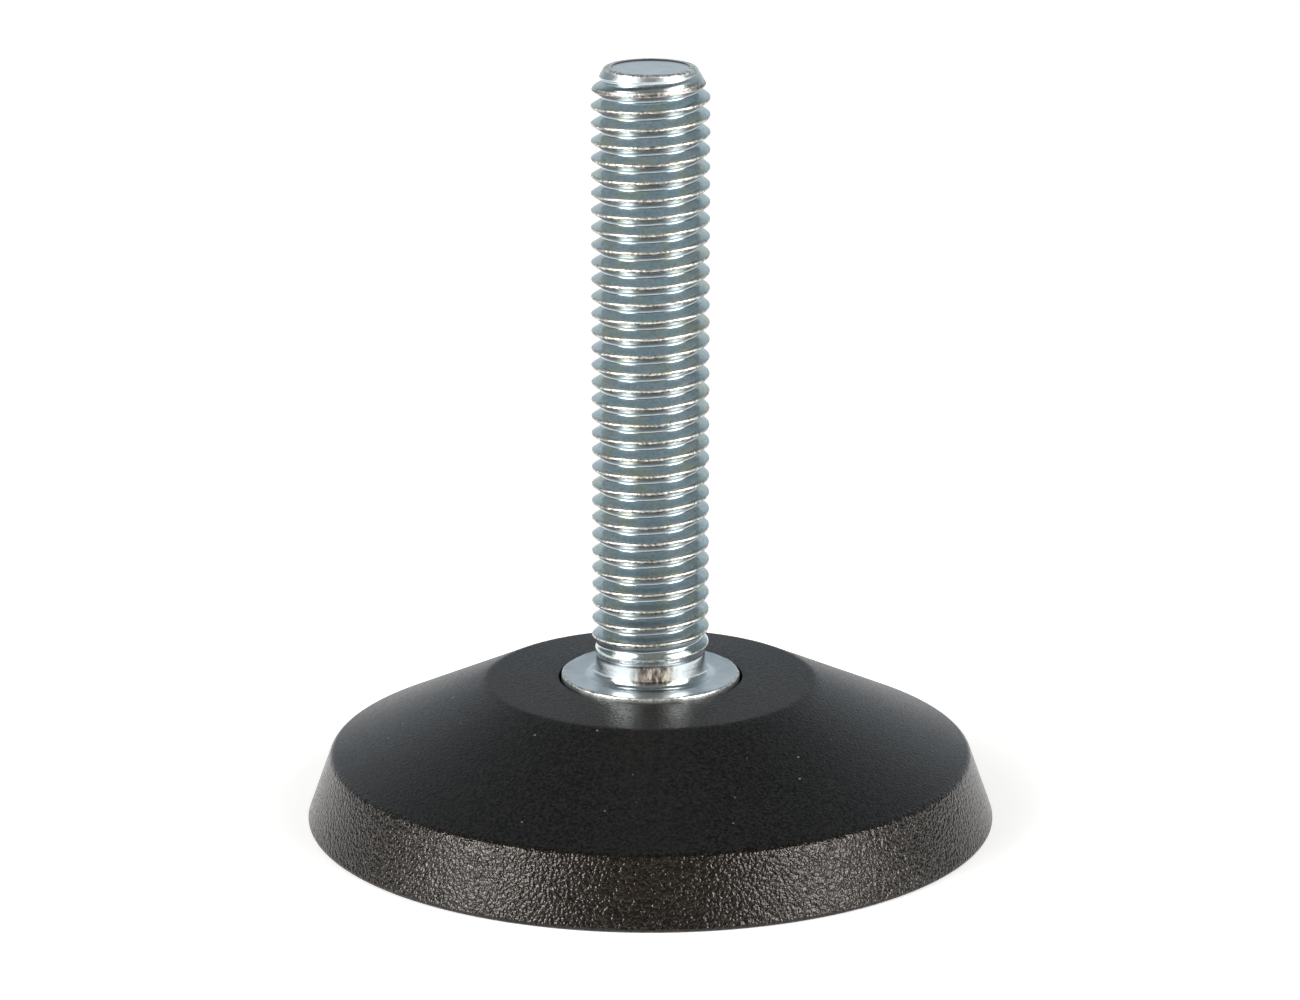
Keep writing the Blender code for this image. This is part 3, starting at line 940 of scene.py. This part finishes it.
def roughen_collar(bm):
    """Make the collar's upper edge a little uneven, as shearing leaves it."""
    for vert in bm.verts:
        radius = math.hypot(vert.co.x, vert.co.y)
        if radius > COLLAR_RADIUS - UNEVEN_WIDTH and vert.co.z > COLLAR_TOP - UNEVEN_DEPTH:
            lump = sum(share * noise.noise(vert.co / size) for size, share in UNEVEN_LUMPS)
            vert.co *= 1 + UNEVEN_HEIGHT * lump / radius


def lower_corners():
    """Return the section of shank, collar and neck as corners with their rounding."""
    dished = COLLAR_TOP - COLLAR_DISH
    return [
        (SHANK_CENTRE_RADIUS, SHANK_END, 0.0),
        (SHANK_RADIUS, SHANK_END, SHANK_EDGE),
        (SHANK_RADIUS, GROOVE_LOW, GROOVE_EDGE),
        (GROOVE_RADIUS, GROOVE_LOW, GROOVE_ROUNDING),
        (GROOVE_RADIUS, GROOVE_HIGH, GROOVE_ROUNDING),
        (SHANK_RADIUS, GROOVE_HIGH, GROOVE_EDGE),
        (SHANK_RADIUS, COLLAR_FOOT, COLLAR_ROUNDING),
        (COLLAR_RADIUS, COLLAR_FOOT, COLLAR_ROUNDING),
        (COLLAR_RADIUS, COLLAR_TOP, COLLAR_EDGE),
        (COLLAR_RADIUS - COLLAR_RIM_INNER, COLLAR_TOP, 0.0),
        (COLLAR_RADIUS - COLLAR_RIM_SLOPE_END, COLLAR_TOP - COLLAR_RIM_DROP, 0.0),
        (NECK_RADIUS + NECK_FILLET + DISH_MARGIN, dished, 0.0),
        (NECK_RADIUS, dished, NECK_FILLET),
        (neck_radius(NECK_TOP), NECK_TOP, 0.0),
    ]


def upper_corners():
    """Return the section of the stud's end, with its shallow cup, as corners with their rounding."""
    return [
        (END_RADIUS + END_EDGE * END_SLOPE, STUD_TOP - END_EDGE, 0.0),
        (END_RADIUS, STUD_TOP, END_ROUND),
        (CUP_RADIUS, STUD_TOP, CUP_EDGE),
        (CUP_RADIUS - CUP_WALL, STUD_TOP - CUP_DEPTH, CUP_EDGE),
        (CUP_CENTRE_RADIUS, STUD_TOP - CUP_DEPTH, 0.0),
    ]


def make_spindle(material):
    """Spindle: grooved shank, collar, neck and rolled thread in one closed mesh."""
    bm = bmesh.new()
    rings = add_rings(bm, rounded_profile(lower_corners(), SPINDLE_ARC_STEPS), STUD_SEGMENTS)
    bm.faces.new(tuple(reversed(rings[0])))
    roughen_collar(bm)
    end_rings = add_rings(bm, rounded_profile(upper_corners(), END_ARC_STEPS), STUD_SEGMENTS)
    bm.faces.new(end_rings[-1])
    columns = []
    for index in range(STUD_SEGMENTS):
        turned = index / STUD_SEGMENTS
        angle = FULL_TURN * turned
        heights = thread_heights(turned)
        points = [add_point(bm, stud_radius(angle, height), angle, height) for height in heights]
        columns.append([rings[-1][index], *points, end_rings[0][index]])
    for index, column in enumerate(columns):
        fill_between(bm, column, columns[(index + 1) % STUD_SEGMENTS])
    spindle = finish_mesh("threaded_spindle", bm, material, sharp=50)
    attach(spindle, "spindle")
    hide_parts("spindle")


# ---------------------------------------------------------------- washer and retaining ring


def bevelled_copy(node, name, body, material, width):
    """Stand in for a small CAD piece with a copy that has rounded edges."""
    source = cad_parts[node]
    bm = bmesh.new()
    bm.from_mesh(source.data)
    bmesh.ops.dissolve_limit(bm, angle_limit=math.radians(1), verts=bm.verts, edges=bm.edges)
    item = finish_mesh(name, bm, material)
    round_edges(item, width, angle=45)
    smooth_mesh(item.data, 30)
    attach(item, body)
    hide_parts(node)


# ---------------------------------------------------------------- the whole scene


def main():
    """Build camera, light, floor and the four pieces."""
    bpy.context.scene.view_settings.view_transform = "Standard"
    make_camera()
    make_world()
    make_floor()
    make_lamps()
    make_base(make_plastic())
    make_spindle(make_zinc())
    washer_steel = make_steel("washer_steel", WASHER_COLOUR, WASHER_ROUGHNESS)
    spring_steel = make_steel("spring_steel", SPRING_COLOUR, SPRING_ROUGHNESS)
    bevelled_copy("thrust_washer", "washer", "base", washer_steel, WASHER_EDGE)
    bevelled_copy("retaining_ring", "snap_ring", "spindle", spring_steel, RING_EDGE)


main()
